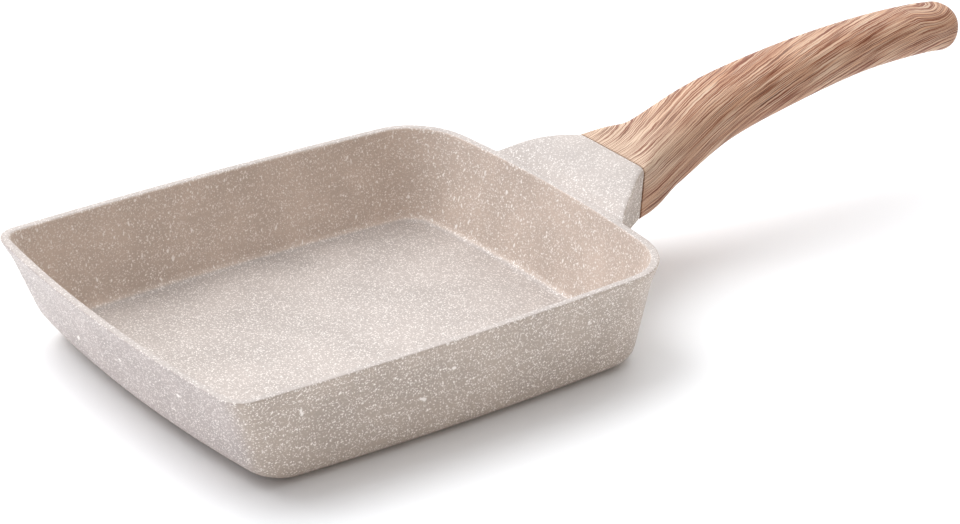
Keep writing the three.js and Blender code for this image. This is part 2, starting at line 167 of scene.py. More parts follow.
def loft(name, rings):
    """Closed skin over a row of rings with equal point counts."""
    count = len(rings[0])
    points = np.concatenate(rings)
    faces = []
    for r in range(len(rings) - 1):
        for i in range(count):
            j = (i + 1) % count
            faces.append((r * count + i, r * count + j, (r + 1) * count + j, (r + 1) * count + i))
    faces.append(tuple(reversed(range(count))))
    last = (len(rings) - 1) * count
    faces.append(tuple(range(last, last + count)))
    return new_object(name, points, faces)


def combine(piece, tool, operation):
    """Joins tool to piece, or cuts it away, and deletes tool."""
    modifier = piece.modifiers.new("combine", "BOOLEAN")
    modifier.operation = operation
    modifier.solver = "EXACT"
    modifier.object = tool
    depsgraph = bpy.context.evaluated_depsgraph_get()
    mesh = bpy.data.meshes.new_from_object(piece.evaluated_get(depsgraph))
    piece.modifiers.clear()
    old = piece.data
    piece.data = mesh
    mesh.name = piece.name
    bpy.data.meshes.remove(old)
    bpy.data.objects.remove(tool)


def smooth(piece):
    piece.data.shade_smooth()
    piece.data.set_sharp_from_angle(angle=math.radians(SHARP_ANGLE))


def vertex_places(piece):
    places = np.empty(3 * len(piece.data.vertices))
    piece.data.vertices.foreach_get("co", places)
    return places.reshape(-1, 3)


def at_height(outline, z):
    """Lifts an outline in plan to height z."""
    return np.column_stack([outline, np.full(len(outline), z)])


# Plan outlines: bowed sides as circle arcs, joined by corner arcs that touch both sides
def bowed_side(start, end, bow):
    chord = end - start
    length = np.hypot(*chord)
    radius = (length ** 2 / 4 + bow ** 2) / (2 * bow)
    outward = np.array([chord[1], -chord[0]]) / length
    return (start + end) / 2 + outward * (bow - radius), radius


def corner_arc(before, after, corner, radius):
    (centre_a, radius_a), (centre_b, radius_b) = before, after
    reach_a, reach_b = radius_a - radius, radius_b - radius
    between = centre_b - centre_a
    distance = np.hypot(*between)
    along = (reach_a ** 2 - reach_b ** 2 + distance ** 2) / (2 * distance)
    across = math.sqrt(reach_a ** 2 - along ** 2)
    unit = between / distance
    normal = np.array([-unit[1], unit[0]])
    choices = [centre_a + unit * along + normal * across * sign for sign in (1, -1)]
    centre = min(choices, key=lambda c: np.hypot(*(c - corner)))
    start = math.atan2(*(centre - centre_a)[::-1])
    end = math.atan2(*(centre - centre_b)[::-1])
    return centre, radius, start, end


def arc_points(centre, radius, start, end, steps):
    angles = start + ((end - start) % (2 * math.pi)) * np.arange(steps) / steps
    return centre + radius * np.stack([np.cos(angles), np.sin(angles)], axis=1)


def pan_outline(inset, front_inset, front_corner, back_corner):
    x = RIM_WIDTH / 2 - SIDE_BOW - inset
    front = -RIM_LENGTH / 2 + FRONT_BOW + front_inset
    back = RIM_LENGTH / 2 - BACK_BOW - inset
    corners = [np.array(c) for c in [(-x, front), (x, front), (x, back), (-x, back)]]
    bows = [FRONT_BOW, SIDE_BOW, BACK_BOW, SIDE_BOW]
    radii = [front_corner, front_corner, back_corner, back_corner]
    sides = [bowed_side(corners[i], corners[(i + 1) % 4], bows[i]) for i in range(4)]
    arcs = [corner_arc(sides[i - 1], sides[i], corners[i], radii[i]) for i in range(4)]
    stretches = []
    for i, (centre, radius, start, end) in enumerate(arcs):
        stretches.append(arc_points(centre, radius, start, end, CORNER_STEPS))
        stretches.append(arc_points(*sides[i], end, arcs[(i + 1) % 4][2], SIDE_STEPS))
    return np.concatenate(stretches)


def smoothstep(value):
    t = min(max(value, 0), 1)
    return t * t * (3 - 2 * t)


def lerp(a, b, t):
    return a + (b - a) * t


def wall_inset(z, draft, foot, bottom, top_inset, flare):
    """How far a wall stands inside the rim's edge at height z: a straight draft with a rounded foot."""
    tilt = math.radians(draft)

    def lean(height):
        drop = RIM_HEIGHT - height
        return top_inset + drop * math.tan(tilt) + flare * smoothstep(drop / LIP_HEIGHT)

    tangent = bottom + foot * (1 - math.sin(tilt))
    if z >= tangent:
        return lean(z)
    centre = lean(tangent) + foot * math.cos(tilt)
    rise = foot - (z - bottom)
    return centre - math.sqrt(max(foot ** 2 - rise ** 2, 0))


# Skins of the pan: draft, foot round, bottom, inset and flare of the side walls, then of the front wall
OUTSIDE = (
    (WALL_DRAFT_OUTSIDE, FOOT_ROUND, 0, 0, LIP_FLARE),
    (FRONT_SLOPE_OUTSIDE, FRONT_FOOT_ROUND, 0, 0, LIP_FLARE),
)
INSIDE = (
    (WALL_DRAFT_INSIDE, FLOOR_ROUND, FLOOR_THICKNESS, RIM_LAND, 0),
    (FRONT_SLOPE_INSIDE, FRONT_FLOOR_ROUND, FLOOR_THICKNESS, RIM_LAND, 0),
)


def wall_ring(z, walls, extra=0.0):
    """One ring of the pan's skin at height z, moved inward by extra where an edge is rounded."""
    side, front = walls
    down = 1 - z / RIM_HEIGHT
    trim = side[3] + extra
    front_corner = lerp(RIM_FRONT_CORNER, FOOT_FRONT_CORNER, down) - trim
    back_corner = lerp(RIM_BACK_CORNER, FOOT_BACK_CORNER, down) - trim
    insets = (wall_inset(z, *side) + extra, wall_inset(z, *front) + extra)
    return at_height(pan_outline(*insets, front_corner, back_corner), z)


def wall_heights(bottom, foot, top):
    angles = np.linspace(0, math.pi / 2, FOOT_STEPS + 1)
    lip = RIM_HEIGHT - LIP_HEIGHT
    rounded = bottom + foot * (1 - np.cos(angles))
    straight = np.linspace(rounded[-1], lip, WALL_STEPS + 1)[1:]
    return [*rounded, *straight, *np.linspace(lip, top, LIP_STEPS + 1)[1:]]


def edge_angles():
    return np.linspace(0, math.pi / 2, EDGE_STEPS + 1)


def pan_shell():
    """The whole skin of the pan: up the outside, over the rim and down to the floor."""
    rings = [wall_ring(0, OUTSIDE, FLAT_MARGIN)]
    heights = wall_heights(0, FRONT_FOOT_ROUND, RIM_HEIGHT - RIM_OUTER_ROUND)
    rings += [wall_ring(z, OUTSIDE) for z in heights]
    for angle in edge_angles()[1:]:
        z = RIM_HEIGHT - RIM_OUTER_ROUND * (1 - math.sin(angle))
        rings.append(wall_ring(z, OUTSIDE, RIM_OUTER_ROUND * (1 - math.cos(angle))))
    for angle in edge_angles()[::-1]:
        z = RIM_HEIGHT - RIM_INNER_ROUND * (1 - math.sin(angle))
        rings.append(wall_ring(z, INSIDE, -RIM_INNER_ROUND * (1 - math.cos(angle))))
    heights = wall_heights(FLOOR_THICKNESS, FRONT_FLOOR_ROUND, RIM_HEIGHT - RIM_INNER_ROUND)
    rings += [wall_ring(z, INSIDE) for z in heights[-2::-1]]
    rings.append(wall_ring(FLOOR_THICKNESS, INSIDE, FLAT_MARGIN))
    return loft("stone_pan", rings)


def wall_core():
    """The hollow of the pan grown into the middle of its wall, to trim what joins the wall from outside."""
    half_wall = -RIM_LAND / 2
    heights = wall_heights(FLOOR_THICKNESS, FRONT_FLOOR_ROUND, RIM_HEIGHT)
    rings = [wall_ring(z, INSIDE, half_wall) for z in heights]
    mouth = rings[-1].copy()
    mouth[:, 2] = JOINT_TOP
    return loft("wall_core", [*rings, mouth])


def section_ring(middle, up, half_width, half_height, roundness, underside_half_width=None):
    """Superellipse across the path, in X and an upward direction, which may narrow downwards."""
    angles = np.linspace(0, 2 * math.pi, SECTION_POINTS, endpoint=False)

    def part(value):
        return np.sign(value) * np.abs(value) ** (2 * roundness)

    height = part(np.cos(angles))
    reach = lerp(underside_half_width or half_width, half_width, (1 + height) / 2)
    ring = np.asarray(middle) + np.outer(half_height * height, up)
    ring[:, 0] += reach * part(np.sin(angles))
    return ring


UPRIGHT = np.array([0.0, 0.0, 1.0])


def lug_section(y, shrink=0.0):
    """Section of the lug: its top rises quickly at the rim and levels out, and a fillet widens its root."""
    progress = min(max((y - RIM_BACK) / LUG_LENGTH, 0), 1)
    beyond = min(max((y - RIM_BACK + LUG_FILLET_INSIDE) / LUG_FILLET_LENGTH, 0), 1)
    fillet = LUG_FILLET * (1 - beyond) ** 2
    levelling = 1 - (1 - progress) ** LUG_LEVELLING
    top = lerp(RIM_HEIGHT - LUG_RIM_STEP, JOINT_TOP, levelling)
    bottom = lerp(RIM_HEIGHT - LUG_ROOT_DEPTH, JOINT_TOP - JOINT_HEIGHT, progress) - fillet
    half_width = lerp(LUG_RIM_HALF_WIDTH, JOINT_HALF_WIDTH, progress) + fillet - shrink
    underside = lerp(LUG_UNDERSIDE_HALF_WIDTH, JOINT_HALF_WIDTH, progress) + fillet - shrink
    middle = (0, y, (top + bottom) / 2)
    half_height = (top - bottom) / 2 - shrink
    return section_ring(middle, UPRIGHT, half_width, half_height, JOINT_ROUNDNESS, underside)


def lug():
    """The cast shoulder, from inside the rear wall to the joint."""
    root = RIM_BACK - wall_inset(RIM_HEIGHT - LUG_ROOT_DEPTH, *INSIDE[0])
    end = JOINT_Y - JOINT_EDGE_ROUND
    places = [root]
    places += list(np.linspace(RIM_BACK - LUG_FILLET_INSIDE, RIM_BACK, FILLET_STEPS, endpoint=False))
    places += list(np.linspace(RIM_BACK, end, LUG_STEPS + 1))
    rings = [lug_section(y) for y in places]
    for angle in edge_angles()[1:]:
        shrink = JOINT_EDGE_ROUND * (1 - math.cos(angle))
        rings.append(lug_section(end + JOINT_EDGE_ROUND * math.sin(angle), shrink))
    return loft("lug", rings)


# Pieces in the tang's frame, whose Y runs along the tang and whose Z is the screw's axis
TANG_FRAME = Matrix.Translation((0, JOINT_Y, JOINT_Z)) @ Matrix.Rotation(math.radians(TANG_RISE), 4, "X")


def tang_bar(clearance):
    """The tang, from inside the lug to its end, grown by a clearance where it serves as a cutter."""
    x = TANG_WIDTH / 2 + clearance
    z = TANG_THICKNESS / 2 + clearance
    corners = [(-x, z), (x, z), (x, -z), (-x, -z)]
    ends = (-TANG_THICKNESS, TANG_LENGTH + clearance)
    return loft("tang", [np.array([TANG_FRAME @ Vector((a, y, b)) for a, b in corners]) for y in ends])


def screw_axis_bar(radius, bottom, top):
    """A round bar on the screw's axis, as a cutter."""
    angles = np.linspace(0, 2 * math.pi, ROUND_STEPS, endpoint=False)
    circle = [(radius * math.cos(a), SCREW_SETBACK + radius * math.sin(a)) for a in angles]
    rings = [np.array([TANG_FRAME @ Vector((x, y, z)) for x, y in circle]) for z in (bottom, top)]
    return loft("screw_axis", rings)


def plate_seat():
    """The shallow rounded recess that takes the induction plate."""
    x = PLATE_SIZE[0] / 2 - PLATE_CORNER
    y = PLATE_SIZE[1] / 2 - PLATE_CORNER
    corners = [(x, y, 0), (-x, y, 1), (-x, -y, 2), (x, -y, 3)]
    outline = []
    for cx, cy, quarter in corners:
        start = quarter * math.pi / 2
        centre = np.array([cx, cy + PLATE_CENTRE_Y])
        outline.append(arc_points(centre, PLATE_CORNER + GAP, start, start + math.pi / 2, CORNER_STEPS))
    outline = np.concatenate(outline)
    return loft("plate_seat", [at_height(outline, z) for z in (-PLATE_SEAT_DEPTH, PLATE_SEAT_DEPTH)])


def mark_inside(pan):
    """Stores how far inside the rim's inner edge each upward facing point lies, from 0 to 1."""
    places = vertex_places(pan)
    edge = wall_ring(RIM_HEIGHT, INSIDE, -RIM_INNER_ROUND)[:, :2]
    ahead = np.roll(edge, -1, axis=0) - edge
    ahead /= np.linalg.norm(ahead, axis=1, keepdims=True)
    away = places[:, None, :2] - edge[None]
    depth = np.min(ahead[None, :, 0] * away[:, :, 1] - ahead[None, :, 1] * away[:, :, 0], axis=1)
    normals = np.empty(3 * len(places))
    pan.data.vertices.foreach_get("normal", normals)
    upward = (normals.reshape(-1, 3)[:, 2] > 0) & (places[:, 2] > FLOOR_THICKNESS / 2)
    inside = np.clip(depth / RIM_INNER_ROUND, 0, 1) * upward
    attribute = pan.data.attributes.new("inside", "FLOAT", "POINT")
    attribute.data.foreach_set("value", inside)


def stone_pan():
    pan = pan_shell()
    shoulder = lug()
    combine(shoulder, wall_core(), "DIFFERENCE")
    combine(shoulder, tang_bar(0), "UNION")
    combine(shoulder, screw_axis_bar(INSERT_HOLE_RADIUS, -TANG_THICKNESS, TANG_THICKNESS), "DIFFERENCE")
    combine(pan, shoulder, "UNION")
    combine(pan, plate_seat(), "DIFFERENCE")
    smooth(pan)
    mark_inside(pan)
    return pan


# Handle, whose sizes are spaced by the spline in millimetres, as in the CAD
MILLIMETRES = 1000
SMALLEST_STEP = 1e-9


def spline(values, t):
    """Centripetal Catmull-Rom curve through the rows of values, evenly numbered from 0 to 1."""
    rows = np.asarray(values, float)
    last = len(rows) - 1
    index = min(int(t * last), last - 1)
    u = t * last - index
    ghosts = np.vstack([2 * rows[0] - rows[1], rows, 2 * rows[-1] - rows[-2]])
    p = ghosts[index:index + 4]
    d0, d1, d2 = np.maximum(np.linalg.norm(np.diff(p, axis=0), axis=1) ** 0.5, SMALLEST_STEP)
    m1 = ((p[1] - p[0]) / d0 - (p[2] - p[0]) / (d0 + d1) + (p[2] - p[1]) / d1) * d1
    m2 = ((p[2] - p[1]) / d1 - (p[3] - p[1]) / (d1 + d2) + (p[3] - p[2]) / d2) * d1
    c2 = -3 * p[1] + 3 * p[2] - 2 * m1 - m2
    c3 = 2 * p[1] - 2 * p[2] + m1 + m2
    return p[1] + m1 * u + c2 * u ** 2 + c3 * u ** 3


def handle_sections():
    joint = (JOINT_Y + JOINT_SHOWN_GAP, JOINT_Z, JOINT_HALF_WIDTH, JOINT_HEIGHT / 2, JOINT_ROUNDNESS)
    sections = [joint]
    for reach, rise, width, height, roundness in HANDLE_SECTIONS:
        place = (JOINT_Y + reach * HANDLE_LENGTH, JOINT_Z + rise * HANDLE_RISE)
        sections.append((*place, width * GRIP_HALF_WIDTH, height * GRIP_HALF_HEIGHT, roundness))
    return sections


def wooden_handle():
    """Sections along a smooth path, with a round tail and hollows for the tang and the screw."""
    sections = handle_sections()
    middles = [(0, y, z) for y, z, *_ in sections]
    sizes = [
        (width * MILLIMETRES, height * MILLIMETRES, roundness)
        for _, _, width, height, roundness in sections
    ]

    def along_at(t):
        ahead = spline(middles, min(t + PATH_NUDGE, 1)) - spline(middles, max(t - PATH_NUDGE, 0))
        return ahead / np.linalg.norm(ahead)

    def up_at(t):
        along = along_at(t)
        turned = smoothstep((spline(middles, t)[1] - JOINT_Y) / HANDLE_TURN_LENGTH)
        up = np.array([0, -along[2] * turned, along[1]])
        return up / np.linalg.norm(up)

    def size_at(t):
        width, height, roundness = spline(sizes, t)
        return width / MILLIMETRES, height / MILLIMETRES, roundness

    rings = []
    start = spline(middles, 0)
    width, height, roundness = size_at(0)
    for angle in edge_angles()[:0:-1]:
        shrink = JOINT_EDGE_ROUND * (1 - math.cos(angle))
        middle = start + np.array([0, JOINT_EDGE_ROUND * (1 - math.sin(angle)), 0])
        rings.append(section_ring(middle, UPRIGHT, width - shrink, height - shrink, roundness))
    steps = np.linspace(0, 1, HANDLE_STEPS + 1)
    path = np.array([spline(middles, t) for t in steps])
    for t, middle in zip(steps[1:], path[1:]):
        rings.append(section_ring(middle, up_at(t), *size_at(t)))
    width, height, roundness = size_at(1)
    for angle in np.linspace(0, math.pi / 2, TAIL_STEPS + 2)[1:-1]:
        middle = path[-1] + along_at(1) * HANDLE_TAIL_ROUND * math.sin(angle)
        shrink = math.cos(angle)
        rings.append(section_ring(middle, up_at(1), width * shrink, height * shrink, roundness))
    handle = loft("wooden_handle", rings)
    seat = -TANG_THICKNESS / 2 - GAP - COUNTERBORE_FLOOR
    combine(handle, tang_bar(GAP), "DIFFERENCE")
    combine(handle, screw_axis_bar(COUNTERBORE_RADIUS, -COUNTERBORE_DEPTH, seat), "DIFFERENCE")
    smooth(handle)
    add_grain_places(handle, path)
    return handle


def add_grain_places(handle, path):
    """Stores each point's place in the straightened handle: across it, along its path and above the path."""
    places = vertex_places(handle)
    steps = np.linalg.norm(np.diff(path, axis=0), axis=1)
    travelled = np.concatenate([[0], np.cumsum(steps)])
    flat = path[:, 1:]
    nearest = np.argmin(np.linalg.norm(places[:, None, 1:] - flat[None], axis=2), axis=1)
    along = np.gradient(flat, axis=0)
    along /= np.linalg.norm(along, axis=1, keepdims=True)
    offset = places[:, 1:] - flat[nearest]
    ahead = np.sum(offset * along[nearest], axis=1)
    above = offset[:, 1] * along[nearest, 0] - offset[:, 0] * along[nearest, 1]
    grain = np.column_stack([places[:, 0], travelled[nearest] + ahead, above])
    attribute = handle.data.attributes.new("grain", "FLOAT_VECTOR", "POINT")
    attribute.data.foreach_set("vector", grain.ravel())


# Materials
class Nodes:
    """The node tree of a material or a world, with short ways to add and link nodes."""

    def __init__(self, owner):
        owner.use_nodes = True
        self.tree = owner.node_tree

    def add(self, kind, inputs=None, **settings):
        node = self.tree.nodes.new(kind)
        for key, value in settings.items():
            setattr(node, key, value)
        for key, value in (inputs or {}).items():
            self.set(node.inputs[key], value)
        return node

    def set(self, socket, value):
        if isinstance(value, bpy.types.NodeSocket):
            self.tree.links.new(value, socket)
        else:
            socket.default_value = value

    def math(self, operation, *values):
        return self.add("ShaderNodeMath", dict(enumerate(values)), operation=operation).outputs[0]

    def vector(self, operation, *values):
        node = self.add("ShaderNodeVectorMath", dict(enumerate(values)), operation=operation)
        return node.outputs["Value" if operation in ("DISTANCE", "DOT_PRODUCT") else "Vector"]

    def scaled(self, vector, share):
        node = self.add("ShaderNodeVectorMath", {0: vector, "Scale": share}, operation="SCALE")
        return node.outputs["Vector"]

    def parts(self, vector):
        return self.add("ShaderNodeSeparateXYZ", {0: vector}).outputs

    def weighted(self, base, *weights):
        """A base value plus each mask times its weight."""
        total = base
        for mask, weight in weights:
            total = self.math("MULTIPLY_ADD", mask, weight, total)
        return total

    def span(self, value, low, high, to_low=0.0, to_high=1.0):
        inputs = {"Value": value, "From Min": low, "From Max": high, "To Min": to_low, "To Max": to_high}
        return self.add("ShaderNodeMapRange", inputs, interpolation_type="SMOOTHSTEP").outputs[0]

    def mix(self, amount, first, second):
        return self.add("ShaderNodeMix", {0: amount, 6: first, 7: second}, data_type="RGBA").outputs[2]

    def noise(self, vector, scale, detail):
        """Soft noise, with one scale for all directions or one for each."""
        if isinstance(scale, tuple):
            vector, scale = self.vector("MULTIPLY", vector, scale), 1.0
        inputs = {"Vector": vector, "Scale": scale, "Detail": detail}
        return self.add("ShaderNodeTexNoise", inputs).outputs["Fac"]


class Surface(Nodes):
    """A material with one principled shader."""

    def __init__(self, name):
        self.material = bpy.data.materials.new(name)
        super().__init__(self.material)
        self.shader = self.tree.nodes["Principled BSDF"]

    def paint(self, tone, roughness):
        self.set(self.shader.inputs["Base Color"], tone)
        self.set(self.shader.inputs["Roughness"], roughness)

    def bump(self, height, strength, distance):
        node = self.add("ShaderNodeBump", {"Height": height, "Strength": strength, "Distance": distance})
        self.set(self.shader.inputs["Normal"], node.outputs[0])


def colour(red, green, blue):
    """An sRGB colour in 0 to 255, as linear light."""
    def linear(value):
        share = value / 255
        return share / 12.92 if share <= 0.04045 else ((share + 0.055) / 1.055) ** 2.4
    return (linear(red), linear(green), linear(blue), 1.0)


NOISE_RANGE = (0.3, 0.7)

# Kinds of flecks: a cell's size in metres, the share of cells with a fleck, the smallest and the
# largest radius in cells, and a shift in metres that sets the kinds apart
FINE_FLECKS = (0.0007, 0.75, 0.28, 0.52, 0.031)
DENSE_FLECKS = (0.0012, 0.5, 0.16, 0.4, 0.077)
SLIVER_FLECKS = (0.0019, 0.55, 0.12, 0.27, 0.113)
LARGE_FLECKS = (0.008, 0.5, 0.07, 0.15, 0.143)
FLECK_WARP = 0.9
FLECK_WARP_SCALE = 1.3
FLECK_EDGE = (0.6, 1.1)
FLECK_DRAW = (1.0, 1.0, 0.45)


def flecks(nodes, position, cell, share, smallest, largest, shift):
    """Irregular spots in a share of the cells of a jittered grid, as a mask."""
    shifted = nodes.vector("ADD", position, (shift, 2 * shift, 3 * shift))
    warp = nodes.add("ShaderNodeTexNoise", {"Vector": shifted, "Scale": FLECK_WARP_SCALE / cell})
    moved = nodes.vector("MULTIPLY_ADD", warp.outputs["Color"], (FLECK_WARP * cell,) * 3, shifted)
    cells = nodes.add("ShaderNodeTexVoronoi", {"Vector": moved, "Scale": 1 / cell})
    chance = nodes.add("ShaderNodeSeparateColor", {0: cells.outputs["Color"]}).outputs
    present = nodes.math("LESS_THAN", chance[0], share)
    size = nodes.math("MULTIPLY_ADD", chance[1], largest - smallest, smallest)
    spot = nodes.span(nodes.math("DIVIDE", cells.outputs["Distance"], size), *FLECK_EDGE, 1.0, 0.0)
    return nodes.math("MULTIPLY", spot, present)


# Coat: its own tones inside and outside, painted cool light on outer faces that turn forward,
# painted sheen on level faces, how far a face turns up or forward to count as level or front,
# its grain and clouds per metre, and how strong the flecks are in each place
STONE_WALL_INSIDE = colour(214, 196, 182)
STONE_WALL_OUTSIDE = colour(190, 174, 161)
# Painted cool light: a cooler, greyer tone for outer faces that turn forward, where the cool front light
# falls
FRONT_PAINTED_COOL_LIGHT = colour(188, 175, 170)
# Painted sheen: a greyer, darker tone for level faces, for the white sheen on them and the stronger light
# from above
LEVEL_PAINTED_SHEEN = colour(184, 173, 166)
FLECK_WHITE = colour(251, 244, 238)
LEVEL_FACING = (0.6, 0.95)
FRONT_FACING = (-0.5, -0.9)
COAT_GRAIN = 1900.0
COAT_CLOUDS = 45.0
MOTTLE_SHARE = 0.5
MOTTLE_RANGE = (0.35, 0.65)
MOTTLE_SHADE = (0.8, 1.0)
FINE_STRENGTH = 0.65
FINE_MORE_ON_OUTER_WALL = 0.2
FINE_LESS_ON_OUTER_LEVEL = -0.15
DENSE_STRENGTH = 0.25
DENSE_MORE_ON_WALL = 0.7
DENSE_LESS_ON_OUTER_LEVEL = -0.13
DENSE_LESS_ON_FRONT = -0.4
COAT_SPECULAR = 0.75
COAT_ROUGHNESS = (0.4, 0.52)
COAT_GRAIN_HEIGHT = 0.6
COAT_BUMP = (0.25, 0.00006)


def stone_coating():
    """Beige coat with pale flecks: fine on level faces, drawn downwards on walls inside, dense outside."""
    nodes = Surface("stone_coating")
    places = nodes.add("ShaderNodeTexCoord").outputs
    position = places["Object"]
    facing = nodes.parts(places["Normal"])
    inside = nodes.add("ShaderNodeAttribute", attribute_name="inside").outputs["Fac"]
    outside = nodes.math("SUBTRACT", 1.0, inside)
    level = nodes.span(facing[2], *LEVEL_FACING)
    wall = nodes.math("SUBTRACT", 1.0, level)
    front = nodes.math("MULTIPLY", outside, nodes.span(facing[1], *FRONT_FACING))
    inner_wall = nodes.math("MULTIPLY", inside, wall)
    outer_wall = nodes.math("MULTIPLY", outside, wall)
    outer_level = nodes.math("MULTIPLY", outside, level)

    grain = nodes.noise(position, COAT_GRAIN, 2.0)
    clouds = nodes.noise(position, COAT_CLOUDS, 3.0)
    mottle = nodes.weighted(0.0, (clouds, MOTTLE_SHARE), (grain, MOTTLE_SHARE))
    base = nodes.mix(inside, STONE_WALL_OUTSIDE, STONE_WALL_INSIDE)
    # Painted cool light: outer faces that turn forward are tinted cooler, where the cool front light falls
    base = nodes.mix(front, base, FRONT_PAINTED_COOL_LIGHT)
    # Painted sheen: level faces take a greyer, darker tone, for the white sheen and the stronger light from
    # above
    base = nodes.mix(level, base, LEVEL_PAINTED_SHEEN)
    base = nodes.scaled(base, nodes.span(mottle, *MOTTLE_RANGE, *MOTTLE_SHADE))

    fine_strength = nodes.weighted(
        FINE_STRENGTH, (outer_level, FINE_LESS_ON_OUTER_LEVEL), (outer_wall, FINE_MORE_ON_OUTER_WALL),
    )
    dense_strength = nodes.weighted(
        DENSE_STRENGTH, (outer_level, DENSE_LESS_ON_OUTER_LEVEL), (wall, DENSE_MORE_ON_WALL),
        (front, DENSE_LESS_ON_FRONT),
    )
    drawn = nodes.vector("MULTIPLY", position, FLECK_DRAW)
    speckle = 0.0
    for kind, place, strength in [
        (FINE_FLECKS, position, fine_strength), (DENSE_FLECKS, position, dense_strength),
        (SLIVER_FLECKS, drawn, inner_wall), (LARGE_FLECKS, position, outer_wall),
    ]:
        layer = nodes.math("MULTIPLY", flecks(nodes, place, *kind), strength)
        speckle = nodes.math("MAXIMUM", speckle, layer)

    nodes.paint(nodes.mix(speckle, base, FLECK_WHITE), nodes.span(grain, *NOISE_RANGE, *COAT_ROUGHNESS))
    nodes.shader.inputs["Specular IOR Level"].default_value = COAT_SPECULAR
    nodes.bump(nodes.weighted(speckle, (grain, COAT_GRAIN_HEIGHT)), *COAT_BUMP)
    return nodes.material


# Wood: tones, the run of the growth lines through the handle, and waves in them as noise per metre
# across, along and up, with how far in metres the lines stray
WOOD_LIGHT = colour(212, 171, 141)
WOOD_MID = colour(189, 144, 115)
WOOD_DARK = colour(112, 50, 26)
WOOD_PORE = colour(84, 38, 20)
# Pale wood tone for the pale fibres and for the patch on the top near the joint; the patch is partly pale
# print and partly painted sheen from the light above
SAPWOOD_AND_PAINTED_SHEEN = colour(214, 188, 164)
GRAIN_TILT = 11
GRAIN_LEAN = -0.8
GRAIN_WAVES = [
    ((26.0, 11.0, 26.0), 0.004),
    ((90.0, 45.0, 90.0), 0.0011),
    ((330.0, 300.0, 330.0), 0.0006),
]
KNOT_PLACE = (0.004, 0.166, 0.0085)
KNOT_RADIUS = 0.013
KNOT_LIFT = 0.0045
# The patch on the top near the joint: where it ends along the handle, how high up it begins, and how far it
# calms the dark lines; kept to the top side as painted sheen
SAPWOOD_SHEEN_END = 0.055
SAPWOOD_SHEEN_RISE = (-0.004, 0.01)
SAPWOOD_SHEEN_CALM = -0.5

# Lines of the wood as noise per metre across and along them, and the noise that marks each kind
BROAD_LINES = (150.0, 5.0, 1.0)
RING_LINES = (1350.0, 8.0, 1.0)
HAIR_LINES = (2500.0, 22.0, 1.0)
FIBRE_LINES = (3300.0, 34.0, 1.0)
PORE_LINES = (1700.0, 50.0, 1.0)
BROAD_MARKS = (0.36, 0.66)
RING_MARKS = (0.48, 0.36, 0.0, 0.42)
HAIR_MARKS = (0.5, 0.4, 0.0, 0.8)
FIBRE_MARKS = (0.48, 0.4, 0.0, 0.8)
FIBRE_LIGHTS = (0.53, 0.62, 0.0, 0.8)
PORE_MARKS = (0.58, 0.68)
PORE_RINGS = (0.58, 0.42)
PORE_STRENGTH = 0.75
WOOD_SPECULAR = 0.16
WOOD_ROUGHNESS = (0.42, 0.54)
WOOD_BUMP = (0.15, 0.00008)


def growth_lines(nodes, place):
    """Coordinates across and along the growth lines, which tilt, lean, wave and rise over the knot."""
    across, along, up = nodes.parts(place)
    waves = [(nodes.noise(place, often, 1.0), stray) for often, stray in GRAIN_WAVES]
    tilt = -math.tan(math.radians(GRAIN_TILT))
    depth = nodes.weighted(up, (along, tilt), (across, GRAIN_LEAN), *waves)
    from_knot = nodes.vector("DISTANCE", place, KNOT_PLACE)
    depth = nodes.math("ADD", nodes.span(from_knot, 0.0, KNOT_RADIUS, KNOT_LIFT, 0.0), depth)
    return nodes.add("ShaderNodeCombineXYZ", {0: depth, 1: along}).outputs[0]


def wood_look():
    """Printed wood: long thin growth lines, tilted to the handle, with fine fibres, pores and one knot."""
    nodes = Surface("wood_look")
    place = nodes.add("ShaderNodeAttribute", attribute_name="grain").outputs["Vector"]
    _, along, up = nodes.parts(place)
    lines = growth_lines(nodes, place)
    broad = nodes.noise(lines, BROAD_LINES, 2.0)
    rings, hairs, fibres, pores = (
        nodes.noise(lines, often, 1.0) for often in (RING_LINES, HAIR_LINES, FIBRE_LINES, PORE_LINES)
    )
    # Patch on the top near the joint: partly pale print, partly painted sheen from the light above, which
    # also calms the dark lines there
    sapwood_and_top_sheen = nodes.math("MULTIPLY", nodes.span(along, SAPWOOD_SHEEN_END, 0.0), nodes.span(up, *SAPWOOD_SHEEN_RISE))
    marked = nodes.weighted(1.0, (sapwood_and_top_sheen, SAPWOOD_SHEEN_CALM))
    pore = nodes.math("MULTIPLY", nodes.span(pores, *PORE_MARKS), nodes.span(rings, *PORE_RINGS))

    tone = nodes.mix(nodes.span(broad, *BROAD_MARKS), WOOD_MID, WOOD_LIGHT)
    tone = nodes.mix(sapwood_and_top_sheen, tone, SAPWOOD_AND_PAINTED_SHEEN)
    for pattern, marks in [(rings, RING_MARKS), (hairs, HAIR_MARKS)]:
        tone = nodes.mix(nodes.math("MULTIPLY", nodes.span(pattern, *marks), marked), tone, WOOD_DARK)
    tone = nodes.mix(nodes.span(fibres, *FIBRE_MARKS), tone, WOOD_DARK)
    tone = nodes.mix(nodes.span(fibres, *FIBRE_LIGHTS), tone, SAPWOOD_AND_PAINTED_SHEEN)
    tone = nodes.mix(nodes.math("MULTIPLY", pore, PORE_STRENGTH), tone, WOOD_PORE)

    nodes.paint(tone, nodes.span(fibres, *NOISE_RANGE, *WOOD_ROUGHNESS))
    nodes.shader.inputs["Specular IOR Level"].default_value = WOOD_SPECULAR
    nodes.bump(nodes.math("SUBTRACT", fibres, pore), *WOOD_BUMP)
    return nodes.material


